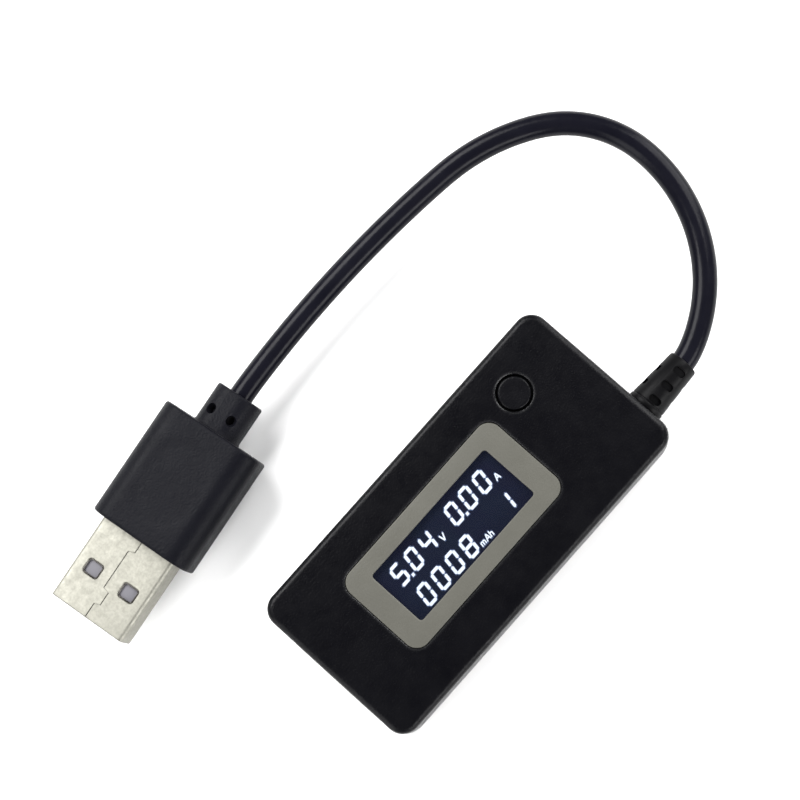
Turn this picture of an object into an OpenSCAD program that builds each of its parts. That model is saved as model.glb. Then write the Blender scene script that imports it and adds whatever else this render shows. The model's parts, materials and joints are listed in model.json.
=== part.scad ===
// Cable-type USB power meter: a snap-together case with a backlit liquid crystal display, one button,
// a USB-A socket in one end and a short captive cable that ends in a USB-A plug.
// Millimetres. Origin at the centre of the case's underside, +X towards the cable end, +Z out of the display.

/* [Case] */
// Length of the case, socket end to cable end
body_length = 54.3; // [54:0.1:60]
// Width of the case
body_width = 26.1; // [26:0.1:30]
// Height of the case
body_height = 12; // [12:0.1:14]
// Radius of the case's four upright corners
corner_radius = 2.7; // [2.4:0.1:4]
// Radius along the top and bottom edges
edge_radius = 0.9; // [0.4:0.1:1.2]
// Wall thickness of both covers
wall = 1.4; // [1.2:0.1:1.6]

/* [Display] */
// Outside of the grey bezel, along X and Y
bezel_size = [29.45, 13.9]; // [10:0.05:30]
// Corner radius of the bezel
bezel_radius = 2; // [1.5:0.1:3.5]
// Visible window, along X and Y
window_size = [22.45, 8.9]; // [5:0.05:23]
// Place of the display's centre on the case, along X and Y
display_place = [-2.5, 0.3]; // [-3:0.05:0.4]
// Thickness of each of the two glass plates
glass_thickness = 0.5; // [0.4:0.05:0.5]

/* [Button] */
// Place of the button, along X and Y
button_place = [16.9, 6.7]; // [0:0.05:18]
// Diameter of the hole in the top cover
button_hole_diameter = 5; // [4.8:0.1:5.6]
// Diameter of the cap
button_diameter = 4.45; // [4:0.05:4.6]
// How far the button goes down
button_travel = 0.3; // [0.2:0.05:0.35]

/* [Cable] */
// Outside diameter of the cable
cable_diameter = 3.4; // [3:0.1:3.6]
// Height of the cable above the surface that the case rests on
cable_height = 5.2; // [5:0.1:5.4]
// Place of the cable across the cable end of the case
cable_y = -7.1; // [-7.4:0.1:-6]
// Length of the strain relief outside the case
relief_length = 8.4; // [7:0.1:10]
// Radius of each of the cable's four bends, from the case to the plug
bend_radii = [23.6, 16.4, 30.2, 181]; // [10:0.1:200]
// Turn of each bend in degrees
bend_sweeps = [76.8, 54.6, 27.4, 12.7]; // [5:0.1:80]
// Direction of the cable as it leaves the strain relief
start_heading = 14; // [0:0.5:15]

/* [Plug] */
// Width of the moulded grip
grip_width = 15.8; // [15:0.1:16.5]
// Thickness of the moulded grip
grip_thickness = 8.4; // [7.5:0.1:9]
// Length of the moulded grip, without its neck
grip_length = 17.8; // [17:0.1:20]
// Width and length of the grip's neck
neck_size = [6.9, 6]; // [5:0.1:7.5]
// Metal shell of a USB-A plug: width and thickness
plug_shell_size = [12, 4.5]; // [4.5:0.05:12]
// Length of metal shell that stands out of the grip
plug_reach = 12.6; // [11.8:0.1:12.8]
// Tilt of the plug about its own length, as it lies at rest
plug_roll = 6.4; // [0:0.1:8]
// Turn of the plug against the end of the cable
plug_turn = 2.4; // [-1:0.1:3]

/* [Socket] */
// Inside of a USB-A socket: width and height
socket_opening = [12.5, 5.12]; // [5.1:0.01:12.6]
// Length of the socket
socket_length = 14; // [13:0.1:14]
// Sheet thickness of the socket and of the plug's shell
sheet = 0.3; // [0.25:0.05:0.35]

/* [Hidden] */
$fn = 48;

// Space left between pieces that fit together, and how far a cutter runs past a face
fit = 0.03;
past = 1;

// How far a pad, post or leg is sunk into what it stands on, so that the two are one piece
root = 0.2;

// Lip that lines up the two covers, and its snap catches
lip_height = 1;
lip_gap = 0.05;
catch_size = [5, 0.3, 0.5];
catch_gap = 0.12;
catch_x = 15;

// Heights inside the case
split_z = cable_height;
floor_z = wall;
board_z = 2.4;
board_thickness = 1;
board_top = board_z + board_thickness;
ceiling_z = body_height - wall;
bezel_z = body_height - 1;
pane_thickness = 0.5;
polariser_thickness = 0.1;
guide_thickness = 0.6;
front_glass_z = bezel_z - polariser_thickness - glass_thickness;
rear_glass_z = front_glass_z - glass_thickness;
rear_polariser_z = rear_glass_z - polariser_thickness;
guide_z = rear_polariser_z - guide_thickness;

// Glass plates and the parts round them
glass_size = [window_size[0] + 3.1, window_size[1] + 2.1];
contact_ledge = 1.2;
pane_size = [window_size[0] + 2, window_size[1] + 2];
glass_hole = [glass_size[0] + 1.4, 12.6];
holder_x = [-12.4, 9.9];
holder_width = 12.4;
holder_wall = 0.8;
pin_count = 11;
pin_pitch = 2;
pin_size = [0.5, 0.25];
pin_y = display_place[1] + glass_size[1] / 2 + contact_ledge + fit;

// Board and what stands on it
board_x = [-25.6, 24.2];
board_width = 23;
post_places = [[-10, -9.8], [-10, 9.8], [21.5, 9.8]];
pad_places = concat(post_places, [[21.5, -9.8]]);
post_radius = 1.2;
pad_radius = 1.5;
locating_pin_radius = 0.9;

// Tactile switch under the button
switch_size = 6;
switch_height = 2.8;
switch_floor = 0.7;
switch_well_radius = 2.35;
dome_radius = 2.1;
dome_height = 0.6;
dome_thickness = 0.15;
plunger_radius = 1.7;
plunger_top = 8.5;
cap_flange_z = 9.7;
cap_flange_radius = 3.2;
cap_proud = 0.1;

// USB-A socket, on the board at the case's other end
socket_outer = [socket_opening[0] + 2 * sheet, socket_opening[1] + 2 * sheet];
socket_x = -body_length / 2;
socket_z = board_top + 0.02;
socket_axis_z = socket_z + socket_outer[1] / 2;
socket_tongue = [11.1, 1.84];
socket_tongue_length = 8.9;
socket_tongue_drop = 0.7;
leg_places = [6, 11];
leg_size = [1.2, sheet, 1.6];
contact_pitches = [-3.5, -1, 1, 3.5];
contact_width = 1;
contact_thickness = 0.2;

// Cable and the ball joints that stand for its bending
cable_radius = cable_diameter / 2;
jacket_bore_radius = 1.25;
core_radius = 0.4;
core_offset = 0.5;
core_end_gap = 2.3;
ball_radius = cable_radius - 0.04;
ball_gap = 0.2;
ball_neck = 0.3;
weld_length = 0.4;
weld_grow = 0.02;
weld_open = 0.05;
elbow_grow = 0.08;
bore_step = 0.03;
core_clearance = 0.2;
relief_base_radius = 2.65;
relief_tip_radius = 2.15;
relief_groove_radius = 2.25;
relief_flange_radius = 3.2;
relief_end_x = body_length / 2 + relief_length;
first_hinge = [relief_end_x + 0.45, cable_y];
jacket_inner_end = 21;
wire_pads_x = 17.6;

// Plug, measured from the last hinge along +X towards the tip
neck_start = 1;
grip_start = neck_start + neck_size[1];
grip_end = grip_start + grip_length;
plug_tip = grip_end + plug_reach;
shell_start = grip_end - 5;
mould_length = 6;
mould_size = [10.4, 4];
// Hole round each core, and the wider mouth where the cores spread out to their contacts
core_way = 1.5;
mouth_depth = 1.8;
mouth_rim = 1;
grip_radius = 3;
neck_radius = 2.6;
mould_start = shell_start - mould_length;
tongue_thickness = 1.9;
plug_heading = heading(4) + plug_turn;

function pin_x(i) = display_place[0] + (i - (pin_count - 1) / 2) * pin_pitch;

// Direction and starting point of each bend of the cable
function heading(i) = i == 0 ? start_heading : heading(i - 1) + bend_sweeps[i - 1];
function bend_step(i) = bend_radii[i] * [
    sin(heading(i + 1)) - sin(heading(i)),
    cos(heading(i)) - cos(heading(i + 1))
];
function bend_start(i) = i == 0 ? first_hinge : bend_start(i - 1) + bend_step(i - 1);
function arc_degrees(length, radius) = length / radius * 180 / PI;

// ---------- shared shapes ----------

// Upright plate with rounded corners, centred on the origin
module plate(size, radius, height) {
    linear_extrude(height) rounded_outline(size, radius);
}

module rounded_outline(size, radius) {
    square([size[0] - 2 * radius, size[1]], center = true);
    square([size[0], size[1] - 2 * radius], center = true);
    for (sx = [-1, 1], sy = [-1, 1])
        translate([sx * (size[0] / 2 - radius), sy * (size[1] / 2 - radius)]) circle(radius);
}

// Bar along +X whose cross-section is a rounded rectangle
module bar(size, radius, length) {
    rotate([90, 0, 90]) linear_extrude(length) rounded_outline(size, radius);
}

// Box placed by its lowest corner in X and centred across Y and Z
module block(x, size) {
    translate([x, -size[1] / 2, -size[2] / 2]) cube(size);
}

// Straight rod between two points
module rod(from, to, radius) {
    along(from, to) cylinder(h = norm(to - from), r = radius);
}

// Places its children at from, with their Z towards to
module along(from, to) {
    span = to - from;
    translate(from) rotate([0, acos(span[2] / norm(span)), atan2(span[1], span[0])]) children();
}

// Rod with one bend in it
module bent_rod(points, radius) {
    rod(points[0], points[1], radius);
    rod(points[1], points[2], radius);
    along(points[1], points[0]) sphere(radius + elbow_grow);
}

// Outer block of a cover: square-edged at z_flat, rounded at z_round
module cover_block(z_flat, z_round) {
    inward = z_round > z_flat ? -edge_radius : edge_radius;
    hull() for (sx = [-1, 1], sy = [-1, 1])
        translate([sx * (body_length / 2 - corner_radius), sy * (body_width / 2 - corner_radius), 0]) {
            translate([0, 0, min(z_flat, z_flat - sign(inward) * 0.1)])
                cylinder(r = corner_radius, h = 0.1, $fn = 32);
            translate([0, 0, z_round + inward]) rotate_extrude($fn = 32)
                translate([corner_radius - edge_radius, 0]) circle(edge_radius, $fn = 32);
        }
}

// Plate that follows the case's outline at a distance inside it
module inside_plate(inset, z_from, z_to) {
    translate([0, 0, z_from])
        plate([body_length - 2 * inset, body_width - 2 * inset], corner_radius - inset, z_to - z_from);
}

// Room for the USB socket in the end wall
module socket_mouth() {
    translate([socket_x, 0, socket_axis_z])
        block(-past, [wall + 2 * past, socket_outer[0] + 0.2, socket_outer[1] + 0.2]);
}

// Hole for the strain relief's groove in the other end wall
module relief_hole() {
    translate([body_length / 2 - wall - past, cable_y, cable_height]) rotate([0, 90, 0])
        cylinder(r = relief_groove_radius + fit, h = wall + 2 * past);
}

// ---------- case ----------

module top_cover() {
    color([0.09, 0.09, 0.10]) {
        difference() {
            cover_block(split_z, body_height);
            inside_plate(wall, split_z - past, ceiling_z);
            inside_plate(wall / 2, split_z - past, split_z + lip_height + lip_gap);
            translate([display_place[0], display_place[1], bezel_z])
                plate([bezel_size[0] + 2 * fit, bezel_size[1] + 2 * fit], bezel_radius, 2 * past);
            translate([display_place[0], display_place[1], ceiling_z - past])
                plate(glass_hole, 1, wall + past);
            translate([button_place[0], button_place[1], ceiling_z - past])
                cylinder(d = button_hole_diameter, h = wall + 2 * past);
            socket_mouth();
            relief_hole();
            catches(catch_gap);
        }
        for (p = post_places)
            translate([p[0], p[1], board_top + fit])
                cylinder(r = post_radius, h = ceiling_z - board_top + root);
    }
}

// Snap catches on the bottom cover's lip; grow makes the pockets that take them
module catches(grow) {
    size = [catch_size[0] + 2 * grow, 2 * catch_size[1] + 2 * grow, catch_size[2] + 2 * grow];
    reach = body_width / 2 - wall / 2 - lip_gap;
    for (x = [-catch_x, catch_x], side = [-1, 1])
        translate([x, side * reach, split_z + lip_height / 2]) cube(size, center = true);
}

module bottom_cover() {
    color([0.10, 0.10, 0.11]) {
        difference() {
            cover_block(split_z, 0);
            inside_plate(wall, floor_z, split_z + past);
            socket_mouth();
            relief_hole();
        }
        difference() {
            union() {
                inside_plate(wall / 2 + lip_gap, split_z - lip_height / 2, split_z + lip_height);
                catches(0);
            }
            inside_plate(wall, split_z - past, split_z + 2 * past);
            socket_mouth();
            relief_hole();
        }
        for (p = pad_places) translate([p[0], p[1], floor_z - root]) {
            cylinder(r = pad_radius, h = board_z - floor_z + root);
            cylinder(r = locating_pin_radius, h = board_top - floor_z + root / 2);
        }
    }
}

// ---------- display ----------

module display_bezel() {
    color([0.53, 0.52, 0.47]) translate([display_place[0], display_place[1], bezel_z]) difference() {
        plate(bezel_size, bezel_radius, body_height - bezel_z);
        translate([0, 0, -past]) plate(window_size, 0.5, 4 * past);
        translate([0, 0, -past])
            plate([pane_size[0] + 2 * fit, pane_size[1] + 2 * fit], 0.6, pane_thickness + past);
    }
}

module display_window() {
    color([0.1, 0.1, 0.16, 0.5]) translate([display_place[0], display_place[1], bezel_z])
        plate(pane_size, 0.6, pane_thickness);
}

// Flat layer of the display. The rear glass is wider by the ledge that takes the pins
module display_layer(z, size, thickness, ledge = 0) {
    translate([display_place[0] - size[0] / 2, display_place[1] - size[1] / 2, z])
        cube([size[0], size[1] + ledge, thickness]);
}

module lcd_front_polariser() {
    color([0.08, 0.08, 0.14])
        display_layer(bezel_z - polariser_thickness, glass_size - [1.4, 1], polariser_thickness);
}

module lcd_front_glass() {
    color([0.15, 0.17, 0.25]) display_layer(front_glass_z, glass_size, glass_thickness);
}

module lcd_rear_glass() {
    color([0.17, 0.19, 0.27]) display_layer(rear_glass_z, glass_size, glass_thickness, contact_ledge);
}

module lcd_rear_polariser() {
    color([0.1, 0.1, 0.16])
        display_layer(rear_polariser_z, glass_size - [1.4, 1], polariser_thickness);
}

module backlight_guide() {
    color([0.92, 0.93, 0.95]) display_layer(guide_z, glass_size - [1.4, 0.6], guide_thickness);
}

// Side-firing lamp at the guide's end, on two legs from the board
module backlight_led() {
    lamp = [0.7, 3, guide_thickness];
    leg = [0.3, 0.3, guide_z - board_top + root / 2];
    lamp_x = display_place[0] + glass_size[0] / 2 - 0.5;
    color([0.95, 0.93, 0.8]) {
        translate([lamp_x, -lamp[1] / 2, guide_z]) cube(lamp);
        for (y = [-1.2, 0.9]) translate([lamp_x + 0.2, y, board_top]) cube(leg);
    }
}

// White box on the board that carries the guide and the glass
module display_holder() {
    length = holder_x[1] - holder_x[0];
    height = guide_z - fit - board_top - fit;
    color([0.93, 0.93, 0.91]) translate([holder_x[0], -holder_width / 2, board_top + fit]) difference() {
        cube([length, holder_width, height]);
        translate([holder_wall, holder_wall, -past])
            cube([length - 2 * holder_wall, holder_width - 2 * holder_wall, height + past - holder_wall]);
    }
}

// Comb of pins that clip over the rear glass's ledge and go down to the board
module lcd_pins() {
    tab = 0.15;
    upper_reach = 0.9;
    lower_reach = 0.35;
    gap = 0.02;
    tail = 0.4;
    pin_height = front_glass_z + gap + tab - board_z + tail;
    color([0.8, 0.78, 0.72]) for (i = [0:pin_count - 1]) translate([pin_x(i) - pin_size[0] / 2, pin_y, 0]) {
        translate([0, 0, board_z - tail]) cube([pin_size[0], pin_size[1], pin_height]);
        translate([0, -upper_reach, front_glass_z + gap]) cube([pin_size[0], upper_reach + 0.1, tab]);
        translate([0, -lower_reach, rear_glass_z - gap - tab]) cube([pin_size[0], lower_reach + 0.1, tab]);
    }
}

// ---------- electronics ----------

module circuit_board() {
    length = board_x[1] - board_x[0];
    through = board_thickness + 2 * past;
    color([0.07, 0.32, 0.16]) difference() {
        translate([(board_x[0] + board_x[1]) / 2, 0, board_z])
            plate([length, board_width], 1.8, board_thickness);
        for (p = pad_places) translate([p[0], p[1], board_z - past])
            cylinder(r = locating_pin_radius + 0.1, h = through);
        for (i = [0:pin_count - 1]) translate([pin_x(i), pin_y + pin_size[1] / 2, board_z - past])
            cylinder(r = 0.35, h = through);
        for (y = contact_pitches) translate([socket_x + socket_length + 0.15, y, board_z - past])
            cylinder(r = 0.6, h = through);
        for (x = leg_places, side = [-1, 1])
            translate([socket_x + x - 0.1, side * (socket_outer[0] / 2 - sheet / 2) - 0.3, board_z - past])
                cube([leg_size[0] + 0.2, leg_size[1] + 0.3, through]);
    }
}

// Chip with gull-wing leads along both long sides
module chip(place, size, lead_count, pitch) {
    lead = [0.3, 0.9, 0.15];
    lead_y = size[1] / 2 + 0.35;
    translate([place[0], place[1], board_top]) {
        translate([-size[0] / 2, -size[1] / 2, 0.1]) cube(size);
        for (i = [0:lead_count - 1], side = [-1, 1])
            translate([(i - (lead_count - 1) / 2) * pitch - lead[0] / 2, side * lead_y - lead[1] / 2, 0])
                cube(lead);
    }
}

module microcontroller() {
    color([0.12, 0.12, 0.13]) chip([-2, 0], [7.2, 5.3, 1.6], 10, 0.65);
}

module memory_chip() {
    color([0.13, 0.13, 0.14]) chip([16.5, -0.5], [4.9, 3.9, 1.4], 4, 1.27);
}

module voltage_regulator() {
    color([0.14, 0.14, 0.14]) translate([-5, 9.6, board_top]) {
        translate([-2.25, -1.2, 0.1]) cube([4.5, 2.4, 1.4]);
        for (x = [-1.5, 0, 1.5]) translate([x - 0.2, -2, 0]) cube([0.4, 1, 0.3]);
        translate([-0.8, 1, 0]) cube([1.6, 0.9, 0.3]);
    }
}

module current_shunt() {
    color([0.55, 0.5, 0.45]) translate([10.6, -10.6, board_top]) cube([6.3, 3.2, 0.6]);
}

// Small two-ended parts in a row
module chip_row(places, size) {
    for (p = places) translate([p[0] - size[0] / 2, p[1] - size[1] / 2, board_top]) cube(size);
}

module chip_capacitors() {
    places = [[-7, -8.6], [-3.5, -8.6], [0, -8.6], [21.5, 2.5], [21.5, 5]];
    color([0.6, 0.47, 0.33]) chip_row(places, [2, 1.25, 1]);
}

module chip_resistors() {
    places = [[3.5, -8.6], [7, -8.6], [0, 9.2], [3.5, 9.2], [7, 9.2]];
    color([0.16, 0.16, 0.17]) chip_row(places, [2, 1.25, 0.5]);
}

// ---------- button and its switch ----------

module at_button() {
    translate([button_place[0], button_place[1], 0]) children();
}

module switch_base() {
    color([0.12, 0.12, 0.12]) at_button() difference() {
        translate([-switch_size / 2, -switch_size / 2, board_top])
            cube([switch_size, switch_size, switch_height]);
        translate([0, 0, board_top + switch_floor]) cylinder(r = switch_well_radius, h = switch_height);
    }
}

module switch_cover() {
    cover_z = board_top + switch_height;
    color([0.75, 0.76, 0.77]) at_button() difference() {
        translate([-switch_size / 2, -switch_size / 2, cover_z])
            cube([switch_size, switch_size, sheet]);
        translate([0, 0, cover_z - past]) cylinder(r = plunger_radius + 0.1, h = 3 * past);
    }
}

// Shallow snap dome on the floor of the switch
module switch_dome() {
    ball = (dome_radius * dome_radius + dome_height * dome_height) / (2 * dome_height);
    color([0.8, 0.8, 0.78]) at_button() translate([0, 0, board_top + switch_floor]) difference() {
        intersection() {
            translate([0, 0, dome_height - ball]) sphere(ball);
            cylinder(r = dome_radius + 1, h = 2);
        }
        translate([0, 0, dome_height - ball]) sphere(ball - dome_thickness);
    }
}

module switch_plunger() {
    flange_z = board_top + switch_floor + dome_height;
    flange_top = board_top + switch_height - 0.05;
    color([0.2, 0.2, 0.2]) at_button() {
        translate([0, 0, flange_z]) cylinder(r = dome_radius, h = flange_top - flange_z);
        translate([0, 0, flange_z]) cylinder(r = plunger_radius, h = plunger_top - flange_z);
    }
}

module button_cap() {
    radius = button_diameter / 2;
    chamfer = 0.25;
    cap_top = body_height + cap_proud;
    flange_top = ceiling_z - 0.1;
    color([0.08, 0.08, 0.09]) at_button() rotate_extrude() polygon([
        [0, plunger_top], [plunger_radius, plunger_top], [plunger_radius, cap_flange_z],
        [cap_flange_radius, cap_flange_z], [cap_flange_radius, flange_top], [radius, flange_top],
        [radius, cap_top - chamfer], [radius - chamfer, cap_top], [0, cap_top]
    ]);
}

// ---------- USB-A socket ----------

module at_socket() {
    translate([socket_x, 0, socket_axis_z]) children();
}

// U-shaped cut that leaves a spring finger in the sheet
module finger_cut() {
    difference() {
        cube([6, 2.6, 4 * sheet], center = true);
        translate([0.6, 0, 0]) cube([6, 1.8, 5 * sheet], center = true);
    }
}

module usb_socket_shell() {
    leg_y = (socket_outer[0] - sheet) / 2;
    leg_z = -socket_outer[1] / 2 - leg_size[2] + 0.3;
    color([0.78, 0.78, 0.77]) at_socket() {
        difference() {
            block(0, [socket_length, socket_outer[0], socket_outer[1]]);
            block(-past, [socket_length + 2 * past, socket_opening[0], socket_opening[1]]);
            for (y = [-3, 3], side = [-1, 1])
                translate([5, y, side * (socket_outer[1] - sheet) / 2]) finger_cut();
        }
        for (x = leg_places, side = [-1, 1])
            translate([x, side * leg_y - sheet / 2, leg_z]) cube(leg_size);
    }
}

// Tongue near the roof of the socket and the block behind it
module usb_socket_insulator() {
    tongue_start = 1.5;
    block_x = socket_tongue_length + tongue_start;
    block_size = [socket_length - block_x, socket_opening[0] - 2 * fit, socket_opening[1] - 2 * fit];
    tongue_z = socket_opening[1] / 2 - socket_tongue_drop - socket_tongue[1] / 2;
    color([0.93, 0.93, 0.9]) at_socket() difference() {
        union() {
            translate([0, 0, tongue_z])
                block(tongue_start, [socket_tongue_length + past, socket_tongue[0], socket_tongue[1]]);
            block(block_x, block_size);
        }
        for (y = contact_pitches) translate([0, y, tongue_z - socket_tongue[1] / 2 + contact_thickness / 2])
            block(2.2, [socket_length, contact_width + 2 * fit, contact_thickness + 2 * fit]);
    }
}

module usb_socket_contacts() {
    strip_z = socket_opening[1] / 2 - socket_tongue_drop - socket_tongue[1] + contact_thickness / 2;
    leg_bottom = board_z - 0.5 - socket_axis_z;
    color([0.85, 0.7, 0.35]) at_socket() for (y = contact_pitches) {
        translate([0, y, strip_z]) block(2.3, [socket_length - 2, contact_width, contact_thickness]);
        translate([socket_length + 0.1, y - 0.3, leg_bottom])
            cube([0.2, 0.6, strip_z + contact_thickness / 2 - leg_bottom]);
    }
}

// ---------- cable ----------

// Sleeve with bending slots, held in the end wall by its groove
module strain_relief() {
    inner_x = body_length / 2 - wall;
    outer_x = body_length / 2;
    slot = [0.9, 1.4, 2];
    slot_start = 1.5;
    slot_pitch = 2.5;
    slot_floor = cable_radius + 0.1;
    color([0.07, 0.07, 0.08]) translate([0, cable_y, cable_height]) difference() {
        rotate([0, 90, 0]) rotate_extrude() polygon([
            [cable_radius + fit, inner_x - 1], [relief_flange_radius, inner_x - 1],
            [relief_flange_radius, inner_x - fit], [relief_groove_radius, inner_x - fit],
            [relief_groove_radius, outer_x + fit], [relief_base_radius, outer_x + fit],
            [relief_base_radius, outer_x + 1], [relief_base_radius - 0.2, outer_x + 1.1],
            [relief_tip_radius, relief_end_x], [cable_radius + fit, relief_end_x]
        ]);
        for (i = [0:2], quarter = [0:3]) rotate([quarter * 90 + 12, 0, 0])
            translate([outer_x + slot_start + slot_pitch * (i + (quarter % 2) / 2), -slot[1] / 2, slot_floor])
                cube(slot);
    }
}

// Ball that closes one stretch of cable and turns in the next
module hinge_ball(i) {
    at_bend(i) rotate([0, 90, 0]) sphere(ball_radius);
}

module hinge_hollow(i) {
    at_bend(i) rotate([0, 90, 0]) sphere(ball_radius + ball_gap);
}

// Local frame of bend i: its start at the origin, heading along +X
module at_bend(i) {
    translate([bend_start(i)[0], bend_start(i)[1], cable_height]) rotate([0, 0, heading(i)]) children();
}

// Rod along bend i, shortened at both ends by the lengths in trim
module bend_rod(i, radius, trim, side = 0, up = 0) {
    from = arc_degrees(trim[0], bend_radii[i]);
    sweep = bend_sweeps[i] - from - arc_degrees(trim[1], bend_radii[i]);
    at_bend(i) translate([0, bend_radii[i], 0]) rotate([0, 0, from - 90])
        rotate_extrude(angle = sweep, $fn = 96) translate([bend_radii[i] + side, up]) circle(radius);
}

// Short collar that joins two bends where the second one starts
module weld(i, radius, side = 0, up = 0) {
    at_bend(i) translate([-weld_length / 2, -side, up]) rotate([0, 90, 0])
        cylinder(r = radius + weld_grow, h = weld_length);
}

// Hollow jacket over bends i and i + 1, with a hollow at its start and a ball at its end
module jacket_stretch(i) {
    difference() {
        union() {
            bend_rod(i, cable_radius, [0, weld_open]);
            weld(i + 1, cable_radius);
            bend_rod(i + 1, cable_radius, [weld_open, ball_neck]);
            hinge_ball(i + 2);
        }
        hinge_hollow(i);
        bend_rod(i, jacket_bore_radius, [0, -weld_open]);
        bend_rod(i + 1, jacket_bore_radius - bore_step, [-weld_open, core_end_gap - core_clearance]);
    }
}

// The four insulated cores inside one jacket
module core_stretch(i) {
    for (side = [-1, 1], up = [-1, 1]) {
        bend_rod(i, core_radius, [core_end_gap, weld_open], side * core_offset, up * core_offset);
        weld(i + 1, core_radius, side * core_offset, up * core_offset);
        bend_rod(i + 1, core_radius, [weld_open, core_end_gap], side * core_offset, up * core_offset);
    }
}

module meter_jacket() {
    length = first_hinge[0] - ball_neck - jacket_inner_end;
    color([0.08, 0.08, 0.09]) {
        translate([jacket_inner_end, cable_y, cable_height]) rotate([0, 90, 0]) difference() {
            cylinder(r = cable_radius, h = length);
            translate([0, 0, -past]) cylinder(r = jacket_bore_radius, h = length - core_end_gap + past);
        }
        translate([first_hinge[0], cable_y, cable_height]) rotate([0, 90, 0]) sphere(ball_radius);
    }
}

// Insulated core from inside the meter's jacket to its pad on the board
module meter_wire(side, up, pad_y) {
    y = cable_y + side * core_offset;
    z = cable_height + up * core_offset;
    bent_rod([
        [first_hinge[0] - core_end_gap - 1, y, z],
        [jacket_inner_end - 0.5, y, z],
        [wire_pads_x, pad_y, board_top + core_radius + 0.1]
    ], core_radius);
}

module red_wire() {
    color([0.75, 0.08, 0.06]) meter_wire(1, 1, -4.6);
}

module white_wire() {
    color([0.92, 0.92, 0.9]) meter_wire(1, -1, -6.2);
}

module green_wire() {
    color([0.08, 0.5, 0.2]) meter_wire(-1, -1, -7.8);
}

module black_wire() {
    color([0.06, 0.06, 0.06]) meter_wire(-1, 1, -9.4);
}

module bend_jacket() {
    color([0.08, 0.08, 0.09]) jacket_stretch(0);
}

module bend_cores() {
    color([0.7, 0.4, 0.3]) core_stretch(0);
}

module run_jacket() {
    color([0.08, 0.08, 0.09]) jacket_stretch(2);
}

module run_cores() {
    color([0.7, 0.4, 0.3]) core_stretch(2);
}

// ---------- plug ----------

module at_plug() {
    translate([bend_start(4)[0], bend_start(4)[1], cable_height])
        rotate([0, 0, plug_heading]) rotate([plug_roll, 0, 0]) children();
}

module plug_jacket() {
    length = grip_start + 2;
    color([0.08, 0.08, 0.09]) at_plug() difference() {
        rotate([0, 90, 0]) cylinder(r = cable_radius, h = length);
        rotate([0, 90, 0]) sphere(ball_radius + ball_gap);
        rotate([0, 90, 0]) cylinder(r = jacket_bore_radius, h = length + past);
    }
}

// Cores that fan out from the jacket to the four contacts
module plug_cores() {
    color([0.7, 0.4, 0.3]) at_plug() for (i = [0:3]) {
        side = i < 2 ? -1 : 1;
        up = i % 3 == 0 ? -1 : 1;
        bent_rod([
            [core_end_gap, side * core_offset, up * core_offset],
            [grip_start + 2.5, side * core_offset, up * core_offset],
            [mould_start + 2, contact_pitches[i], 0]
        ], core_radius);
    }
}

// Moulded grip and neck, solid apart from the space of what it is moulded round
module plug_grip() {
    hole_radius = 0.65;
    hole_x = neck_start + neck_size[1] - 2;
    color([0.09, 0.09, 0.12]) at_plug() difference() {
        union() {
            translate([grip_start, 0, 0]) bar([grip_width, grip_thickness], grip_radius, grip_length);
            translate([neck_start, 0, 0])
                bar([neck_size[0], neck_size[0] - 0.7], neck_radius, neck_size[1] + past);
        }
        rotate([0, 90, 0]) cylinder(r = cable_radius + fit, h = grip_start + 2 + fit);
        translate([shell_start - fit, 0, 0])
            bar([plug_shell_size[0] + 2 * fit, plug_shell_size[1] + 2 * fit], 0.5, grip_length);
        block(grip_start + 1, [mould_start - grip_start, 9.2, 2.8]);
        block(mould_start - fit, [mould_length + 2 * fit, mould_size[0] + 2 * fit, mould_size[1] + 2 * fit]);
        for (angle = [-30, 30, 150, 210]) rotate([angle, 0, 0])
            translate([hole_x, 0, neck_size[0] / 2 - 1]) cylinder(r = hole_radius, h = 3);
    }
}

// Hard block that seals the soldered ends of the cores
module plug_inner_mould() {
    mouth = [mouth_depth + past, mould_size[0] - 2 * mouth_rim, mould_size[1] - 2 * mouth_rim];
    color([0.85, 0.85, 0.82]) at_plug() difference() {
        block(mould_start, [mould_length, mould_size[0], mould_size[1]]);
        for (y = contact_pitches) translate([0, y, 0])
            block(mould_start - past, [mould_length + 2 * past, core_way, core_way]);
        block(mould_start - past, mouth);
    }
}

module plug_shell() {
    inner = [plug_shell_size[0] - 2 * sheet, plug_shell_size[1] - 2 * sheet];
    window_x = grip_end + 6.65;
    color([0.85, 0.84, 0.8]) at_plug() difference() {
        translate([shell_start, 0, 0]) bar(plug_shell_size, 0.5, plug_tip - shell_start);
        translate([shell_start - past, 0, 0]) bar(inner, 0.25, plug_tip - shell_start + 2 * past);
        for (y = [-3, 3]) translate([window_x, y, 0]) translate([0, 0, -plug_shell_size[1]])
            plate([2.1, 2.4], 0.3, 2 * plug_shell_size[1]);
    }
}

// Tongue under the shell's upper face, with a block behind it that fills the shell
module plug_insulator() {
    inner = [plug_shell_size[0] - 2 * sheet - 2 * fit, plug_shell_size[1] - 2 * sheet - 2 * fit];
    width = inner[0] - 0.4;
    block_end = grip_end + 1;
    reach = plug_tip - 0.9 - block_end + past;
    groove = [plug_tip - shell_start, contact_width + 2 * fit, 2 * contact_thickness + 2 * fit];
    roof = inner[1] / 2;
    color([0.62, 0.6, 0.66]) at_plug() difference() {
        union() {
            block(shell_start + fit, [block_end - shell_start, width, inner[1]]);
            translate([0, 0, roof - tongue_thickness / 2])
                block(block_end - past, [reach, width, tongue_thickness]);
        }
        for (y = contact_pitches) translate([0, y, roof - tongue_thickness])
            block(shell_start - past, groove);
    }
}

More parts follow.
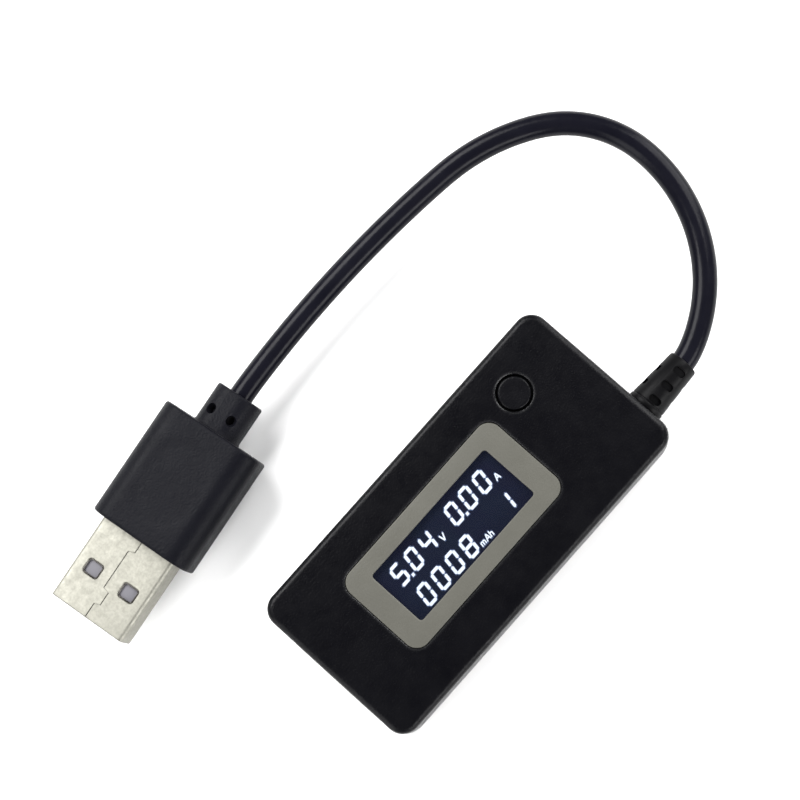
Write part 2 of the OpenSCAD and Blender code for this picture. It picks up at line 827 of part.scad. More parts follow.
// Four contact strips on the tongue; the outer pair reaches further forward
module plug_contacts() {
    roof = plug_shell_size[1] / 2 - sheet - fit;
    color([0.85, 0.7, 0.35]) at_plug() for (y = contact_pitches) {
        reach = abs(y) > 2 ? plug_tip - 2 : plug_tip - 3;
        tail = mould_start + 2.8;
        translate([0, y, roof - tongue_thickness + contact_thickness / 2])
            block(tail, [reach - tail, contact_width, contact_thickness]);
    }
}

// ---------- build ----------

top_cover();
bottom_cover();
display_bezel();
display_window();
lcd_front_polariser();
lcd_front_glass();
lcd_rear_glass();
lcd_rear_polariser();
backlight_guide();
backlight_led();
display_holder();
lcd_pins();
circuit_board();
microcontroller();
memory_chip();
voltage_regulator();
current_shunt();
chip_capacitors();
chip_resistors();
switch_base();
switch_cover();
switch_dome();
switch_plunger();
button_cap();
usb_socket_shell();
usb_socket_insulator();
usb_socket_contacts();
strain_relief();
meter_jacket();
red_wire();
white_wire();
green_wire();
black_wire();
bend_jacket();
bend_cores();
run_jacket();
run_cores();
plug_jacket();
plug_cores();
plug_grip();
plug_inner_mould();
plug_shell();
plug_insulator();
plug_contacts();
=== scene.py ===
"""Studio scene of a cable-type USB power meter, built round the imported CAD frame.

Helpers take millimetres and turn them into metres where a mesh is made.
"""
import json
import math

import bmesh
import bpy
from mathutils import Matrix, Vector


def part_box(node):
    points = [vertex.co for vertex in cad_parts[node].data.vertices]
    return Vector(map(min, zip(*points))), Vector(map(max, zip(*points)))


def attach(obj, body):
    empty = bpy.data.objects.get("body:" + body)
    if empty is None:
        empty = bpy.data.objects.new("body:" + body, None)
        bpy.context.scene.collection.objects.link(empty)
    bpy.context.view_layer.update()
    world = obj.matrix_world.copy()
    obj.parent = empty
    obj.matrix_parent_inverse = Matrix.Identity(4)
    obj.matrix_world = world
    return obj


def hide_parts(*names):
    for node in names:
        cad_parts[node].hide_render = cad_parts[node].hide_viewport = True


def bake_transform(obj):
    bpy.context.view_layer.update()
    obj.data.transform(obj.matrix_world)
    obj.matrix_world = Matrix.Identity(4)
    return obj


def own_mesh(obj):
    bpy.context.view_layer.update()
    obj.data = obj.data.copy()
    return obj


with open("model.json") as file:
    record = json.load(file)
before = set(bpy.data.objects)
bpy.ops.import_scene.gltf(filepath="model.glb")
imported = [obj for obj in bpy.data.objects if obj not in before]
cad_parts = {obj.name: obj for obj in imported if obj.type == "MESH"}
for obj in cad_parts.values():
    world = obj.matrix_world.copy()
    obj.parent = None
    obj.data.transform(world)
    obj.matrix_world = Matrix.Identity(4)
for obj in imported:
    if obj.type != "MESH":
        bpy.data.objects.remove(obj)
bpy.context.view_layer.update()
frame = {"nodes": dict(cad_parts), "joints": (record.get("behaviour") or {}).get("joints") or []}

MM = 0.001
JOINTS = {joint["name"]: joint for joint in frame["joints"]}


def cad_box(node):
    """Lowest and highest corner of a CAD node at rest, in millimetres."""
    low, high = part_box(node)
    return Vector(low) / MM, Vector(high) / MM


def hinge(name):
    return Vector(JOINTS[name]["pos_m"]) / MM


# ---------- sizes read from the frame ----------

CASE_LOW, CASE_HIGH = cad_box("top_cover")
BASE_LOW, _ = cad_box("bottom_cover")
CASE_SIZE = CASE_HIGH - CASE_LOW
BEZEL_LOW, BEZEL_HIGH = cad_box("display_bezel")
PANE_LOW, PANE_HIGH = cad_box("display_window")
BUTTON_LOW, BUTTON_HIGH = cad_box("button_cap")
RELIEF_LOW, RELIEF_HIGH = cad_box("strain_relief")
JACKET_LOW, JACKET_HIGH = cad_box("meter_jacket")
CABLE_RADIUS = (JACKET_HIGH.z - JACKET_LOW.z) / 2
CABLE_Z = (JACKET_HIGH.z + JACKET_LOW.z) / 2
CASE_HINGE = hinge("cable_at_case")
MIDDLE_HINGE = hinge("cable_middle")
PLUG_HINGE = hinge("cable_at_plug")

# ---------- sizes of the finer shapes ----------

CASE_TOP = CASE_HIGH.z
SPLIT_Z = CABLE_Z
CORNER = 2.7
EDGE = 0.95
DRAFT = 0.18
WALL = 1.4
WINDOW = (22.45, 8.9)
BEZEL_CORNER = 2.0
PANE_GAP = 0.14
DISPLAY = ((BEZEL_LOW.x + BEZEL_HIGH.x) / 2, (BEZEL_LOW.y + BEZEL_HIGH.y) / 2)
BUTTON = ((BUTTON_LOW.x + BUTTON_HIGH.x) / 2, (BUTTON_LOW.y + BUTTON_HIGH.y) / 2)
BUTTON_HOLE = 5.0
BUTTON_CAP = 4.45
SOCKET_MOUTH = (13.3, 5.92)

# The cable's four bends: radius, turn in degrees. They match the CAD jacket
CABLE_BENDS = ((23.6, 76.8), (16.4, 54.6), (30.2, 27.4), (181, 12.7))
CABLE_START_HEADING = 14

# The plug, measured from its hinge along its own +X
PLUG_HEADING = 187.9
PLUG_ROLL = 6.4
NECK_START = 1.0
GRIP_START = 7.0
GRIP_END = 24.8
GRIP_SIZE = (15.8, 8.4)
NECK_SIZE = (6.9, 6.2)
SHELL_SIZE = (12.0, 4.5)
SHELL_TIP = GRIP_END + 12.6
SHEET = 0.3
SHELL_CORNER = 0.62
LATCH_WINDOW = (2.2, 2.5)
LATCH_CORNER = 0.5
LATCH_PLACES = [(GRIP_END + 6.65, side) for side in (-3, 3)]
DIMPLE_ANGLES = (-30, 30, 150, 210)
DIMPLE_BACK = 2.4

# The strain relief: flange inside the wall, collar outside it, and three rings of slots
FLANGE_RADIUS = 3.1
SLEEVE_BORE = CABLE_RADIUS + 0.03
SLOT_SIZE = (1.0, 1.9)
SLOT_START = 1.75
SLOT_PITCH = 2.5


# ---------- mesh helpers ----------

def make_object(name, bm, smooth_below=35):
    """Turns a bmesh in millimetres into an object, smooth except at edges sharper than the angle."""
    bmesh.ops.remove_doubles(bm, verts=bm.verts, dist=1e-4)
    bmesh.ops.recalc_face_normals(bm, faces=bm.faces)
    bmesh.ops.scale(bm, vec=(MM, MM, MM), verts=bm.verts)
    mesh = bpy.data.meshes.new(name)
    bm.to_mesh(mesh)
    bm.free()
    obj = bpy.data.objects.new(name, mesh)
    bpy.context.collection.objects.link(obj)
    smooth(obj, smooth_below)
    return obj


def smooth(obj, below):
    """Smooth shading, with edges sharper than the angle in degrees kept sharp."""
    bm = bmesh.new()
    bm.from_mesh(obj.data)
    limit = math.radians(below)
    for face in bm.faces:
        face.smooth = True
    for edge in bm.edges:
        edge.smooth = len(edge.link_faces) == 2 and edge.calc_face_angle(0) < limit
    bm.to_mesh(obj.data)
    bm.free()


def apply_modifiers(obj):
    graph = bpy.context.evaluated_depsgraph_get()
    mesh = bpy.data.meshes.new_from_object(obj.evaluated_get(graph))
    obj.modifiers.clear()
    obj.data = mesh
    return obj


def cut(obj, *cutters):
    """Takes the cutters' shapes out of obj and deletes them."""
    for cutter in cutters:
        boolean = obj.modifiers.new("cut", "BOOLEAN")
        boolean.operation = "DIFFERENCE"
        boolean.solver = "EXACT"
        boolean.object = cutter
        apply_modifiers(obj)
        bpy.data.objects.remove(cutter)
    return obj


def soften(obj, width, segments=2, angle=40):
    """Rounds the edges sharper than the angle, in millimetres."""
    bevel = obj.modifiers.new("soften", "BEVEL")
    bevel.width = width * MM
    bevel.segments = segments
    bevel.limit_method = "ANGLE"
    bevel.angle_limit = math.radians(angle)
    bevel.harden_normals = False
    apply_modifiers(obj)
    smooth(obj, 50)
    return obj


def rounded_loop(size, radius, height, corner_steps=10, side_steps=1):
    """Points of a rounded rectangle at one height, counterclockwise, centred on the origin."""
    half_x, half_y = size[0] / 2, size[1] / 2
    points = []
    for quarter, (sx, sy) in enumerate(((1, 1), (-1, 1), (-1, -1), (1, -1))):
        centre = Vector((sx * (half_x - radius), sy * (half_y - radius)))
        for step in range(corner_steps + 1):
            angle = math.radians(90 * (quarter + step / corner_steps))
            points.append(centre + radius * Vector((math.cos(angle), math.sin(angle))))
        turn = math.radians(90 * (quarter + 1))
        following = ((-1, 1), (-1, -1), (1, -1), (1, 1))[quarter]
        target = Vector((following[0] * (half_x - radius), following[1] * (half_y - radius)))
        target += radius * Vector((math.cos(turn), math.sin(turn)))
        last = points[-1]
        for step in range(1, side_steps):
            points.append(last.lerp(target, step / side_steps))
    return [Vector((p.x, p.y, height)) for p in points]


def loft(name, rings, smooth_below=35):
    """Closed mesh through rings that have the same number of points."""
    bm = bmesh.new()
    rows = [[bm.verts.new(p) for p in ring] for ring in rings]
    count = len(rows[0])
    for lower, upper in zip(rows, rows[1:]):
        for i in range(count):
            j = (i + 1) % count
            bm.faces.new((lower[i], lower[j], upper[j], upper[i]))
    bm.faces.new(list(reversed(rows[0])))
    bm.faces.new(rows[-1])
    return make_object(name, bm, smooth_below)


def lathe(name, profile, place=(0, 0, 0), turn=None, steps=72, smooth_below=35):
    """Solid of revolution about Z from (radius, height) points that start and end on the axis."""
    bm = bmesh.new()
    move = Matrix.Translation(Vector(place)) @ (turn or Matrix.Identity(4))
    rows = []
    for radius, height in profile:
        count = 1 if radius == 0 else steps
        angles = [2 * math.pi * i / steps for i in range(count)]
        rows.append([
            bm.verts.new(move @ Vector((radius * math.cos(a), radius * math.sin(a), height))) for a in angles
        ])
    for lower, upper in zip(rows, rows[1:]):
        for i in range(steps):
            j = (i + 1) % steps
            corners = [row[k % len(row)] for row, k in ((lower, i), (lower, j), (upper, j), (upper, i))]
            bm.faces.new(list(dict.fromkeys(corners)))
    return make_object(name, bm, smooth_below)


def box_solid(name, low, high):
    bm = bmesh.new()
    bmesh.ops.create_cube(bm, size=1)
    low, high = Vector(low), Vector(high)
    for vert in bm.verts:
        vert.co = Vector(low[i] + (vert.co[i] + 0.5) * (high[i] - low[i]) for i in range(3))
    return make_object(name, bm)


def prism(name, outline, z_from, z_to):
    """Upright solid on a flat outline of (x, y) points."""
    return loft(name, [[Vector((x, y, z)) for x, y in outline] for z in (z_from, z_to)])


def join(name, objects):
    """Joins objects into one mesh object."""
    bm = bmesh.new()
    for obj in objects:
        bm.from_mesh(obj.data)
        bpy.data.objects.remove(obj)
    mesh = bpy.data.meshes.new(name)
    bm.to_mesh(mesh)
    bm.free()
    obj = bpy.data.objects.new(name, mesh)
    bpy.context.collection.objects.link(obj)
    return obj


def transform(obj, matrix):
    """Moves the mesh itself by a matrix in millimetres."""
    scaled = matrix.copy()
    scaled.translation = scaled.translation * MM
    obj.data.transform(scaled)
    return obj


def softened_copy(name, node, width):
    """Copy of a CAD node's shape with rounded edges."""
    bm = bmesh.new()
    bm.from_mesh(frame["nodes"][node].data)
    bmesh.ops.remove_doubles(bm, verts=bm.verts, dist=1e-7)
    bmesh.ops.dissolve_limit(bm, angle_limit=math.radians(1), verts=bm.verts, edges=bm.edges)
    mesh = bpy.data.meshes.new(name)
    bm.to_mesh(mesh)
    bm.free()
    obj = bpy.data.objects.new(name, mesh)
    bpy.context.collection.objects.link(obj)
    return soften(obj, width)


def put(obj, body, material, *nodes):
    """Gives a piece its material and body, and lets it stand for CAD nodes."""
    obj.data.materials.clear()
    obj.data.materials.append(material)
    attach(obj, body)
    if nodes:
        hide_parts(*nodes)
    return obj


# ---------- materials ----------

class Nodes:
    """Short way to build one material's node tree."""

    def __init__(self, name):
        self.material = bpy.data.materials.new(name)
        self.material.use_nodes = True
        self.tree = self.material.node_tree
        self.shader = self.tree.nodes["Principled BSDF"]
        self.place = self.add("ShaderNodeTexCoord").outputs["Object"]

    def add(self, kind, **settings):
        node = self.tree.nodes.new(kind)
        for key, value in settings.items():
            if key in node.inputs:
                node.inputs[key].default_value = value
            else:
                setattr(node, key, value)
        return node

    def link(self, source, target):
        self.tree.links.new(source, target)

    def noise(self, grain_mm, detail=2.0, stretch=(1, 1, 1)):
        """Noise whose features are about grain_mm across."""
        mapping = self.add("ShaderNodeMapping")
        mapping.inputs["Scale"].default_value = [s / (grain_mm * MM) for s in stretch]
        noise = self.add("ShaderNodeTexNoise", Scale=1.0, Detail=detail)
        self.link(self.place, mapping.inputs["Vector"])
        self.link(mapping.outputs["Vector"], noise.inputs["Vector"])
        return noise.outputs["Fac"]

    def span(self, value, low, high):
        """Maps a 0 to 1 value onto low to high."""
        ranged = self.add("ShaderNodeMapRange")
        ranged.inputs["From Min"].default_value = 0.3
        ranged.inputs["From Max"].default_value = 0.7
        ranged.inputs["To Min"].default_value = low
        ranged.inputs["To Max"].default_value = high
        self.link(value, ranged.inputs["Value"])
        return ranged.outputs["Result"]

    def blend_colors(self, factor, first, second):
        mix = self.add("ShaderNodeMix", data_type="RGBA")
        mix.inputs[6].default_value = (*first, 1)
        mix.inputs[7].default_value = (*second, 1)
        self.link(factor, mix.inputs[0])
        return mix.outputs[2]

    def bump(self, height, depth_mm, strength=1.0, over=None):
        node = self.add("ShaderNodeBump", Strength=strength, Distance=depth_mm * MM)
        self.link(height, node.inputs["Height"])
        if over is not None:
            self.link(over, node.inputs["Normal"])
        return node.outputs["Normal"]

    def edges(self, radius_mm):
        """Near 1 along edges and 0 on open faces."""
        rounded = self.add("ShaderNodeBevel", samples=4)
        rounded.inputs["Radius"].default_value = radius_mm * MM
        geometry = self.add("ShaderNodeNewGeometry")
        dot = self.add("ShaderNodeVectorMath", operation="DOT_PRODUCT")
        self.link(rounded.outputs["Normal"], dot.inputs[0])
        self.link(geometry.outputs["Normal"], dot.inputs[1])
        ramp = self.add("ShaderNodeMapRange")
        ramp.inputs["From Min"].default_value = 1.0
        ramp.inputs["From Max"].default_value = 0.85
        self.link(dot.outputs["Value"], ramp.inputs["Value"])
        return ramp.outputs["Result"]


def moulded(name, color, rough, grain_mm, depth_mm, cloud=0.15, edge_color=None, specular=0.5,
            edge_mm=0.12, edge_shine=None):
    """Moulded plastic or rubber: fine grain, clouded colour and roughness, paler and shinier edges that are
    part wear and part painted highlight.
    """
    nodes = Nodes(name)
    paler = [c * (1 + cloud) + 0.001 for c in color]
    darker = [c * (1 - cloud) for c in color]
    body = nodes.blend_colors(nodes.span(nodes.noise(6.0), 0, 1), darker, paler)
    if edge_color:
        # Paler edge colour: part wear, part painted highlight where the edges catch the light.
        mix = nodes.add("ShaderNodeMix", data_type="RGBA")
        mix.inputs[7].default_value = (*edge_color, 1)
        wear_and_highlight_edges = nodes.edges(edge_mm)
        nodes.link(wear_and_highlight_edges, mix.inputs[0])
        nodes.link(body, mix.inputs[6])
        body = mix.outputs[2]
    nodes.link(body, nodes.shader.inputs["Base Color"])
    nodes.link(nodes.span(nodes.noise(1.4), rough - 0.04, rough + 0.05), nodes.shader.inputs["Roughness"])
    fine = nodes.bump(nodes.noise(grain_mm, 3.0), depth_mm)
    nodes.link(nodes.bump(nodes.noise(grain_mm * 3), depth_mm, 0.3, fine), nodes.shader.inputs["Normal"])
    nodes.shader.inputs["Specular IOR Level"].default_value = specular
    if edge_shine:
        shine = nodes.add("ShaderNodeMapRange")
        shine.inputs["To Min"].default_value = specular
        shine.inputs["To Max"].default_value = edge_shine
        nodes.link(wear_and_highlight_edges, shine.inputs["Value"])
        nodes.link(shine.outputs["Result"], nodes.shader.inputs["Specular IOR Level"])
    return nodes.material


def metal(name, color, rough, brushed=(1, 12, 12), grain_mm=0.35, edge_color=None):
    """Sheet metal with fine drawn lines, a speckled plating and edges painted darker as shade."""
    nodes = Nodes(name)
    darker = [c * 0.82 for c in color]
    body = nodes.blend_colors(nodes.span(nodes.noise(grain_mm, 3.0), 0, 1), darker, color)
    if edge_color:
        # Darker edge colour is painted shade along the metal's outline.
        mix = nodes.add("ShaderNodeMix", data_type="RGBA")
        mix.inputs[7].default_value = (*edge_color, 1)
        nodes.link(nodes.edges(0.15), mix.inputs[0])
        nodes.link(body, mix.inputs[6])
        body = mix.outputs[2]
    nodes.link(body, nodes.shader.inputs["Base Color"])
    nodes.shader.inputs["Metallic"].default_value = 1.0
    lines = nodes.noise(0.9, 3.0, brushed)
    nodes.link(nodes.span(lines, rough - 0.06, rough + 0.08), nodes.shader.inputs["Roughness"])
    nodes.link(nodes.bump(lines, 0.004, 0.5), nodes.shader.inputs["Normal"])
    return nodes.material


def clear(name, tint, rough):
    """Clear pane: mostly see-through, with a soft reflection on its outer faces."""
    nodes = Nodes(name)
    see_through = nodes.add("ShaderNodeBsdfTransparent")
    see_through.inputs["Color"].default_value = (*tint, 1)
    shine = nodes.add("ShaderNodeBsdfGlossy")
    nodes.link(nodes.span(nodes.noise(2.0), rough, rough + 0.03), shine.inputs["Roughness"])
    fresnel = nodes.add("ShaderNodeFresnel", IOR=1.22)
    front_only = nodes.add("ShaderNodeMapRange")
    front_only.inputs["To Max"].default_value = 0
    nodes.link(nodes.add("ShaderNodeNewGeometry").outputs["Backfacing"], front_only.inputs["Value"])
    nodes.link(fresnel.outputs["Fac"], front_only.inputs["To Min"])
    mix = nodes.add("ShaderNodeMixShader")
    nodes.link(front_only.outputs["Result"], mix.inputs["Fac"])
    nodes.link(see_through.outputs["BSDF"], mix.inputs[1])
    nodes.link(shine.outputs["BSDF"], mix.inputs[2])
    nodes.link(mix.outputs["Shader"], nodes.tree.nodes["Material Output"].inputs["Surface"])
    return nodes.material


def lit(name, color, strength, cell_mm):
    """Lit surface whose brightness wavers slightly."""
    nodes = Nodes(name)
    nodes.shader.inputs["Base Color"].default_value = (0.01, 0.01, 0.02, 1)
    nodes.shader.inputs["Emission Color"].default_value = (*color, 1)
    nodes.link(nodes.span(nodes.noise(cell_mm), strength * 0.93, strength * 1.05),
               nodes.shader.inputs["Emission Strength"])
    return nodes.material


def display_dark(name):
    """Unlit field of the display: navy with cloudy patches a little more teal, and a faint glow."""
    nodes = Nodes(name)
    clouds = nodes.span(nodes.noise(5.0), 0, 1)
    nodes.link(nodes.blend_colors(clouds, (0.003, 0.003, 0.009), (0.003, 0.005, 0.010)),
               nodes.shader.inputs["Base Color"])
    glow = nodes.span(nodes.noise(7.0), 0, 1)
    nodes.link(nodes.blend_colors(glow, (0.006, 0.006, 0.015), (0.005, 0.009, 0.015)),
               nodes.shader.inputs["Emission Color"])
    nodes.shader.inputs["Emission Strength"].default_value = 0.8
    nodes.link(nodes.span(nodes.noise(0.8), 0.3, 0.36), nodes.shader.inputs["Roughness"])
    nodes.shader.inputs["Specular IOR Level"].default_value = 0.1
    return nodes.material


# The case's paler edge colour over a wide band is a painted highlight along the fillets, with raised shine
# there.
CASE = moulded(
    "case_plastic", (0.0016, 0.0016, 0.0024), 0.3, 0.25, 0.05, 0.04, (0.006, 0.006, 0.007), 0.07, 0.6, 0.6)
# Paler and shinier than the case plastic: the paler colour is a painted highlight for the light stripe the
# lower shell shows below the case side.
BASE = moulded("base_plastic", (0.009, 0.009, 0.0088), 0.24, 0.26, 0.006, 0.06, (0.012, 0.012, 0.012), 0.3)
BUTTON_PLASTIC = moulded(
    "button_plastic", (0.002, 0.002, 0.0028), 0.3, 0.32, 0.05, 0.04, (0.012, 0.012, 0.014), 0.09)
BEZEL = moulded("bezel_plastic", (0.074, 0.0725, 0.062), 0.42, 0.3, 0.04, 0.04, (0.13, 0.127, 0.112), 0.2)
RUBBER = moulded("cable_rubber", (0.0036, 0.0036, 0.0064), 0.22, 0.5, 0.015, 0.1, None, 0.075)
RELIEF = moulded("relief_rubber", (0.0014, 0.0014, 0.0018), 0.42, 0.25, 0.01, 0.1, None, 0.08)
GRIP = moulded("grip_plastic", (0.0034, 0.0035, 0.0054), 0.4, 0.26, 0.07, 0.08, (0.012, 0.012, 0.016), 0.06)
TONGUE = moulded("tongue_plastic", (0.125, 0.122, 0.136), 0.45, 0.2, 0.003, 0.05, None, 0.2)
WHITE = moulded("white_plastic", (0.75, 0.75, 0.72), 0.5, 0.2, 0.003, 0.04)
CHIP = moulded("chip_epoxy", (0.02, 0.02, 0.021), 0.55, 0.1, 0.004, 0.1)
CERAMIC = moulded("ceramic", (0.34, 0.24, 0.15), 0.45, 0.1, 0.003, 0.1)
BOARD = moulded("board_lacquer", (0.015, 0.11, 0.045), 0.25, 0.5, 0.004, 0.25)
RED = moulded("red_core", (0.5, 0.02, 0.015), 0.4, 0.2, 0.003)
PALE = moulded("white_core", (0.75, 0.75, 0.72), 0.4, 0.2, 0.003)
GREEN = moulded("green_core", (0.01, 0.22, 0.06), 0.4, 0.2, 0.003)
BLACK = moulded("black_core", (0.012, 0.012, 0.012), 0.4, 0.2, 0.003)
COPPER_CORES = moulded("core_bundle", (0.3, 0.14, 0.09), 0.4, 0.2, 0.003)
# Plug metal whose darker edge colour is painted shade along its outline.
SHELL = metal("plug_metal", (0.288, 0.283, 0.246), 0.56, (1, 1, 1), 0.35, (0.025, 0.024, 0.02))
# Dark metal for the latch window rings: painted shade in the windows.
SHADE_RIM_METAL = metal("window_shade_metal", (0.09, 0.085, 0.08), 0.45)
TIN = metal("tinned_metal", (0.72, 0.71, 0.68), 0.32)
GOLD = metal("gold_plate", (0.83, 0.6, 0.25), 0.25)
PANE = clear("display_pane", (0.94, 0.95, 0.97), 0.04)
GLASS = clear("lcd_glass", (0.8, 0.85, 0.9), 0.03)
FIELD = display_dark("display_field")
SEGMENT = lit("display_segment", (0.86, 0.93, 1.0), 1.25, 1.2)
HALO = lit("display_halo", (0.10, 0.16, 0.32), 0.55, 1.5)


# ---------- case ----------

def cover_rings(size, z_flat, z_round, radius, draft):
    """Rings from a cover's joint edge to its rounded far edge. Draft draws the far edge in."""
    rise = 1 if z_round > z_flat else -1
    lead = 0.12
    rings = [rounded_loop((size[0] - 2 * lead, size[1] - 2 * lead), radius - lead, z_flat)]
    rings.append(rounded_loop(size, radius, z_flat + rise * lead))
    steps = 9
    for step in range(steps + 1):
        angle = math.radians(90 * step / steps)
        inset = draft + EDGE * (1 - math.cos(angle))
        z = z_round - rise * EDGE * (1 - math.sin(angle))
        rings.append(rounded_loop((size[0] - 2 * inset, size[1] - 2 * inset), radius - inset, z))
    return rings


def flared_prism(name, size, radius, z_from, z_top, flare, place):
    """Rounded cutter that widens just below z_top, for a small chamfer round an opening."""
    wide = (size[0] + 2 * flare, size[1] + 2 * flare)
    rings = [
        rounded_loop(size, radius, z_from), rounded_loop(size, radius, z_top - flare),
        rounded_loop(wide, radius + flare, z_top), rounded_loop(wide, radius + flare, z_top + 1),
    ]
    return transform(loft(name, rings), Matrix.Translation((*place, 0)))


def cavity(z_from, z_to):
    size = (CASE_SIZE.x - 2 * WALL, CASE_SIZE.y - 2 * WALL)
    return loft("cavity", [rounded_loop(size, CORNER - WALL, z) for z in (z_from, z_to)])


def socket_opening():
    low, high = cad_box("usb_socket_shell")
    middle = high.z - (SOCKET_MOUTH[1] - 0.2) / 2
    return box_solid(
        "mouth", (CASE_LOW.x - 2, -SOCKET_MOUTH[0] / 2, middle - SOCKET_MOUTH[1] / 2),
        (CASE_LOW.x + WALL + 1, SOCKET_MOUTH[0] / 2, middle + SOCKET_MOUTH[1] / 2))


def relief_opening():
    turn = Matrix.Rotation(math.radians(90), 4, "Y")
    profile = [(0, 0), (2.3, 0), (2.3, 4), (0, 4)]
    return lathe("relief_opening", profile, (CASE_HIGH.x - 3, CASE_HINGE.y, CABLE_Z), turn)


def build_top_cover():
    size = (CASE_SIZE.x, CASE_SIZE.y)
    cover = loft("top_cover_shell", cover_rings(size, SPLIT_Z + 0.04, CASE_TOP, CORNER, DRAFT))
    groove = 0.09
    bezel_size = (BEZEL_HIGH.x - BEZEL_LOW.x + 2 * groove, BEZEL_HIGH.y - BEZEL_LOW.y + 2 * groove)
    recess = flared_prism("recess", bezel_size, BEZEL_CORNER + groove, BEZEL_LOW.z, CASE_TOP, 0.08, DISPLAY)
    through = flared_prism("through", (bezel_size[0] - 2.6, bezel_size[1] - 1.4), 1, 9, CASE_TOP, 0, DISPLAY)
    hole_radius = BUTTON_HOLE / 2
    button_hole = lathe("button_hole", [
        (0, 9), (hole_radius, 9), (hole_radius, CASE_TOP - 0.22), (hole_radius + 0.05, CASE_TOP - 0.09),
        (hole_radius + 0.18, CASE_TOP), (hole_radius + 0.18, CASE_TOP + 1), (0, CASE_TOP + 1)
    ], (*BUTTON, 0), steps=96)
    cut(cover, cavity(SPLIT_Z - 1, CASE_TOP - WALL), recess, through, button_hole,
        socket_opening(), relief_opening())
    smooth(cover, 28)
    return put(cover, "meter", CASE, "top_cover")


def build_bottom_cover():
    size = (CASE_SIZE.x, CASE_SIZE.y)
    cover = loft("bottom_cover_shell", cover_rings(size, SPLIT_Z - 0.04, BASE_LOW.z, CORNER, 0))
    cut(cover, cavity(WALL, SPLIT_Z + 1), socket_opening(), relief_opening())
    smooth(cover, 28)
    return put(cover, "meter", BASE, "bottom_cover")


# ---------- display ----------

def build_bezel():
    size = (BEZEL_HIGH.x - BEZEL_LOW.x, BEZEL_HIGH.y - BEZEL_LOW.y)
    edge = 0.14
    rings = []
    for step in range(5):
        angle = math.radians(90 * step / 4)
        inset = edge * (1 - math.cos(angle))
        z = CASE_TOP - edge * (1 - math.sin(angle))
        rings.append(rounded_loop((size[0] - 2 * inset, size[1] - 2 * inset), BEZEL_CORNER - inset, z, 12))
    rings.insert(0, rounded_loop(size, BEZEL_CORNER, BEZEL_LOW.z, 12))
    bezel = transform(loft("bezel_frame", rings), Matrix.Translation((*DISPLAY, 0)))
    pane = (PANE_HIGH.x - PANE_LOW.x + 0.06, PANE_HIGH.y - PANE_LOW.y + 0.06)
    rebate = flared_prism("rebate", pane, 0.6, BEZEL_LOW.z - 2, PANE_HIGH.z - 1, 0, DISPLAY)
    window = flared_prism("window", WINDOW, 0.5, BEZEL_LOW.z - 2, CASE_TOP, 0.1, DISPLAY)
    cut(bezel, rebate, window)
    smooth(bezel, 28)
    return put(bezel, "meter", BEZEL, "display_bezel")


def build_pane():
    size = (PANE_HIGH.x - PANE_LOW.x, PANE_HIGH.y - PANE_LOW.y)
    rings = [
        rounded_loop(size, 0.6, PANE_LOW.z + PANE_GAP), rounded_loop(size, 0.6, PANE_HIGH.z - 0.06),
        rounded_loop((size[0] - 0.1, size[1] - 0.1), 0.55, PANE_HIGH.z - 0.01),
    ]
    pane = transform(loft("display_pane_plate", rings), Matrix.Translation((*DISPLAY, 0)))
    return put(pane, "meter", PANE, "display_window")


# Which of the seven segments each figure lights: top, upper right, lower right, bottom, lower left,
# upper left, middle
FIGURES = {"0": "abcdef", "1": "bc", "4": "bcfg", "5": "acdfg", "8": "abcdefg"}


def bar(start, end, width, tip):
    """Flat bar between two points with pointed ends."""
    start, end = Vector(start), Vector(end)
    along = (end - start).normalized()
    across = Vector((-along.y, along.x)) * width / 2
    return [start, start + along * tip + across, end - along * tip + across, end,
            end - along * tip - across, start + along * tip - across]


def figure_bars(figure, width, height, stroke):
    """Bars of one seven-segment figure, with its lower left corner at the origin."""
    half = stroke / 2
    left, right, low, high, middle = half, width - half, half, height - half, height / 2
    gap = 0.03
    lines = {
        "a": ((left, high), (right, high)), "b": ((right, high), (right, middle)),
        "c": ((right, middle), (right, low)), "d": ((left, low), (right, low)),
        "e": ((left, middle), (left, low)), "f": ((left, high), (left, middle)),
        "g": ((left, middle), (right, middle)),
    }
    bars = []
    for name in FIGURES[figure]:
        start, end = Vector(lines[name][0]), Vector(lines[name][1])
        along = (end - start).normalized() * gap
        bars.append(bar(start + along, end - along, stroke, stroke * 0.45))
    return bars


# Unit letters as strokes on a grid one unit high
LETTERS = {
    "V": [((0, 1), (0.35, 0)), ((0.35, 0), (0.7, 1))],
    "A": [((0, 0), (0.35, 1)), ((0.35, 1), (0.7, 0)), ((0.15, 0.35), (0.55, 0.35))],
    "m": [((0, 0), (0, 0.65)), ((0, 0.6), (0.35, 0.6)), ((0.35, 0), (0.35, 0.6)),
          ((0.35, 0.6), (0.7, 0.6)), ((0.7, 0), (0.7, 0.6))],
    "h": [((0, 0), (0, 1)), ((0, 0.6), (0.4, 0.6)), ((0.4, 0), (0.4, 0.6))],
}


def letter_bars(letter, size, stroke):
    return [bar(Vector(a) * size, Vector(b) * size, stroke, stroke * 0.3) for a, b in LETTERS[letter]]


SLANT = math.tan(math.radians(9))


def slanted(bars, place):
    """Leans bars like a meter's figures and moves them to their place."""
    return [[Vector((p[0] + SLANT * p[1] + place[0], p[1] + place[1])) for p in shape] for shape in bars]


